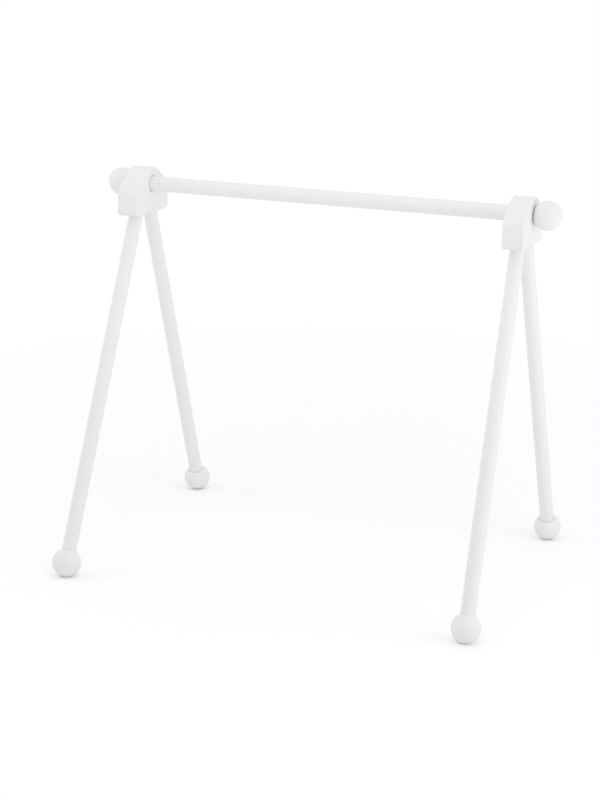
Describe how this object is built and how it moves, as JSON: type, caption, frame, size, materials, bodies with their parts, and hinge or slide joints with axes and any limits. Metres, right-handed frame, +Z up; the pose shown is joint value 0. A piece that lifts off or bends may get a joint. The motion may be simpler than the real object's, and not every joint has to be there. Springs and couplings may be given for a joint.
{
  "type": "baby play gym",
  "caption": "Painted wooden baby play gym: a round crossbar on A-frames of dowel legs with ball feet, held by ball knobs at its ends, about which the frames swing for folding.",
  "frame": {"origin": "on the floor, midway between the feet, under the middle of the crossbar", "axes": "+X along the crossbar to the right, +Y to the rear, +Z up"},
  "size_m": [0.6632, 0.4824, 0.5475],
  "materials": {
    "white_painted_wood": "smooth satin white paint over close-grained wood",
    "zinc_plated_steel": "bright zinc plating",
    "insert_brass": "plain machined brass"
  },
  "bodies": {
    "left_frame": {"left_head": "white_painted_wood", "left_front_leg": "white_painted_wood", "left_front_foot": "white_painted_wood", "left_front_leg_bolt": "zinc_plated_steel", "left_front_leg_insert": "insert_brass", "left_rear_leg": "white_painted_wood", "left_rear_foot": "white_painted_wood", "left_rear_leg_bolt": "zinc_plated_steel", "left_rear_leg_insert": "insert_brass"},
    "bar": {"crossbar": "white_painted_wood", "left_knob_bolt": "zinc_plated_steel", "right_knob_bolt": "zinc_plated_steel"},
    "right_frame": {"right_head": "white_painted_wood", "right_front_leg": "white_painted_wood", "right_front_foot": "white_painted_wood", "right_front_leg_bolt": "zinc_plated_steel", "right_front_leg_insert": "insert_brass", "right_rear_leg": "white_painted_wood", "right_rear_foot": "white_painted_wood", "right_rear_leg_bolt": "zinc_plated_steel", "right_rear_leg_insert": "insert_brass"},
    "left_clamp_knob": {"left_knob": "white_painted_wood", "left_knob_insert": "insert_brass"},
    "right_clamp_knob": {"right_knob": "white_painted_wood", "right_knob_insert": "insert_brass"}
  },
  "joints": [
    {"name": "bar_turn", "type": "hinge", "parent": "left_frame", "child": "bar", "pos_m": [-0.2643, 0, 0.524], "axis": [1, 0, 0], "continuous": true},
    {"name": "right_frame_turn", "type": "hinge", "parent": "bar", "child": "right_frame", "pos_m": [0.2643, 0, 0.524], "axis": [1, 0, 0], "continuous": true},
    {"name": "left_knob_turn", "type": "hinge", "parent": "bar", "child": "left_clamp_knob", "pos_m": [-0.295, 0, 0.524], "axis": [1, 0, 0], "continuous": true},
    {"name": "right_knob_turn", "type": "hinge", "parent": "bar", "child": "right_clamp_knob", "pos_m": [0.295, 0, 0.524], "axis": [1, 0, 0], "continuous": true}
  ]
}
